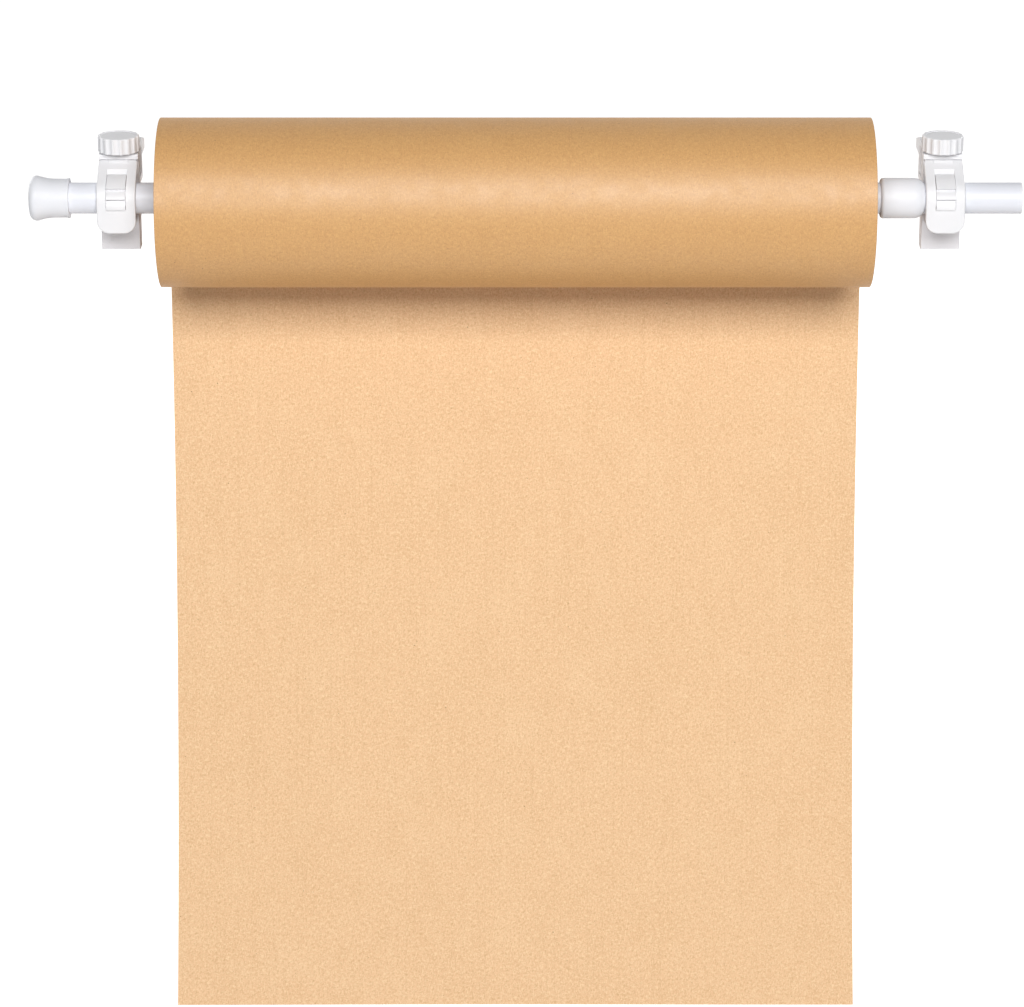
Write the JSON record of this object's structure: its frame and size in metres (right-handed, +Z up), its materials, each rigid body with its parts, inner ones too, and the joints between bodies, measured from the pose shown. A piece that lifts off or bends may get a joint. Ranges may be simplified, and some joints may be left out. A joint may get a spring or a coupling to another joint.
{
  "type": "paper roll holder",
  "caption": "White table-edge holder: screw clamps carry a telescopic rod through a kraft paper roll, with a hinged gate and lock slider over the rod and the paper hanging from the roll's back.",
  "frame": {"origin": "on the left clamp's middle plane, at the table's top front edge, where the upper jaw's pad meets the edge stop", "axes": "+X along the rod to the right, +Y in over the table, +Z up"},
  "size_m": [0.6344, 0.1441, 0.5943],
  "materials": {
    "white_plastic": "smooth moulded white plastic",
    "white_cap": "satin white plastic",
    "white_tube": "white coated steel tube",
    "grey_column": "light grey satin",
    "grey_jaw": "grey moulded plastic",
    "pad_rubber": "matte black rubber",
    "steel": "zinc plated",
    "brass": "turned brass",
    "core_board": "wound cardboard",
    "kraft_paper": "brown kraft paper with fine fibres"
  },
  "bodies": {
    "rod_and_clamps": {"left_clamp_head": "white_plastic", "left_column": "grey_column", "left_head_screws": "steel", "left_rod_saddle": "white_plastic", "left_saddle_screws": "steel", "left_upper_pad": "pad_rubber", "left_screw_bearing": "grey_jaw", "left_thrust_washer": "steel", "left_hinge_pin": "steel", "right_clamp_head": "white_plastic", "right_column": "grey_column", "right_head_screws": "steel", "right_rod_saddle": "white_plastic", "right_saddle_screws": "steel", "right_upper_pad": "pad_rubber", "right_screw_bearing": "grey_jaw", "right_thrust_washer": "steel", "right_hinge_pin": "steel", "outer_tube": "white_tube", "rod_foot": "white_cap", "lock_bush": "grey_jaw", "grip_ring": "grey_jaw"},
    "left_knob": {"left_knob": "white_plastic", "left_clamp_screw": "steel"},
    "left_jaw": {"left_lower_jaw": "grey_jaw", "left_jaw_nut": "brass", "left_lower_pad": "pad_rubber"},
    "left_gate": {"left_rod_gate": "white_plastic"},
    "left_lock": {"left_lock_slider": "white_plastic", "left_lock_shoe": "pad_rubber"},
    "right_knob": {"right_knob": "white_plastic", "right_clamp_screw": "steel"},
    "right_jaw": {"right_lower_jaw": "grey_jaw", "right_jaw_nut": "brass", "right_lower_pad": "pad_rubber"},
    "right_gate": {"right_rod_gate": "white_plastic"},
    "right_lock": {"right_lock_slider": "white_plastic", "right_lock_shoe": "pad_rubber"},
    "inner_rod": {"inner_tube": "white_tube", "end_sleeve": "white_tube", "end_plug": "white_cap"},
    "twist_collar": {"lock_collar": "white_cap"},
    "roll": {"paper_core": "core_board", "paper_roll": "kraft_paper"},
    "sheet": {"paper_sheet": "kraft_paper"}
  },
  "joints": [
    {"name": "left_knob_turn", "type": "hinge", "parent": "rod_and_clamps", "child": "left_knob", "pos_m": [0, -0.03855, 0.015], "axis": [0, 0, -1], "range_deg": [-432, 3600]},
    {"name": "left_jaw_lift", "type": "slide", "parent": "rod_and_clamps", "child": "left_jaw", "axis": [0, 0, 1], "range_m": [-0.0024, 0.02]},
    {"name": "left_gate_swing", "type": "hinge", "parent": "rod_and_clamps", "child": "left_gate", "pos_m": [0, -0.04442, 0.00687], "axis": [-1, 0, 0], "range_deg": [0, 45]},
    {"name": "left_lock_slide", "type": "hinge", "parent": "left_gate", "child": "left_lock", "pos_m": [0, -0.0565, -0.012], "axis": [-1, 0, 0], "range_deg": [0, 8]},
    {"name": "right_knob_turn", "type": "hinge", "parent": "rod_and_clamps", "child": "right_knob", "pos_m": [0.529, -0.03855, 0.015], "axis": [0, 0, -1], "range_deg": [-432, 3600]},
    {"name": "right_jaw_lift", "type": "slide", "parent": "rod_and_clamps", "child": "right_jaw", "axis": [0, 0, 1], "range_m": [-0.0024, 0.02]},
    {"name": "right_gate_swing", "type": "hinge", "parent": "rod_and_clamps", "child": "right_gate", "pos_m": [0.529, -0.04442, 0.00687], "axis": [-1, 0, 0], "range_deg": [0, 45]},
    {"name": "right_lock_slide", "type": "hinge", "parent": "right_gate", "child": "right_lock", "pos_m": [0.529, -0.0565, -0.012], "axis": [-1, 0, 0], "range_deg": [0, 8]},
    {"name": "rod_extend", "type": "slide", "parent": "rod_and_clamps", "child": "inner_rod", "axis": [1, 0, 0], "range_m": [0, 0.08]},
    {"name": "collar_twist", "type": "hinge", "parent": "rod_and_clamps", "child": "twist_collar", "pos_m": [0.502, -0.0565, -0.012], "axis": [1, 0, 0], "range_deg": [-90, 90]},
    {"name": "roll_spin", "type": "hinge", "parent": "rod_and_clamps", "child": "roll", "pos_m": [0.2548, -0.0565, -0.0149], "axis": [-1, 0, 0], "range_deg": [0, 264]},
    {"name": "paper_pull", "type": "slide", "parent": "rod_and_clamps", "child": "sheet", "axis": [0, 0, -1], "range_m": [0, 0.252]}
  ],
  "couplings": [
    {"joint": "left_knob_turn", "follows": "left_jaw_lift", "rad_per_m": 3141.6},
    {"joint": "right_knob_turn", "follows": "right_jaw_lift", "rad_per_m": 3141.6},
    {"joint": "paper_pull", "follows": "roll_spin", "m_per_rad": 0.05455}
  ]
}
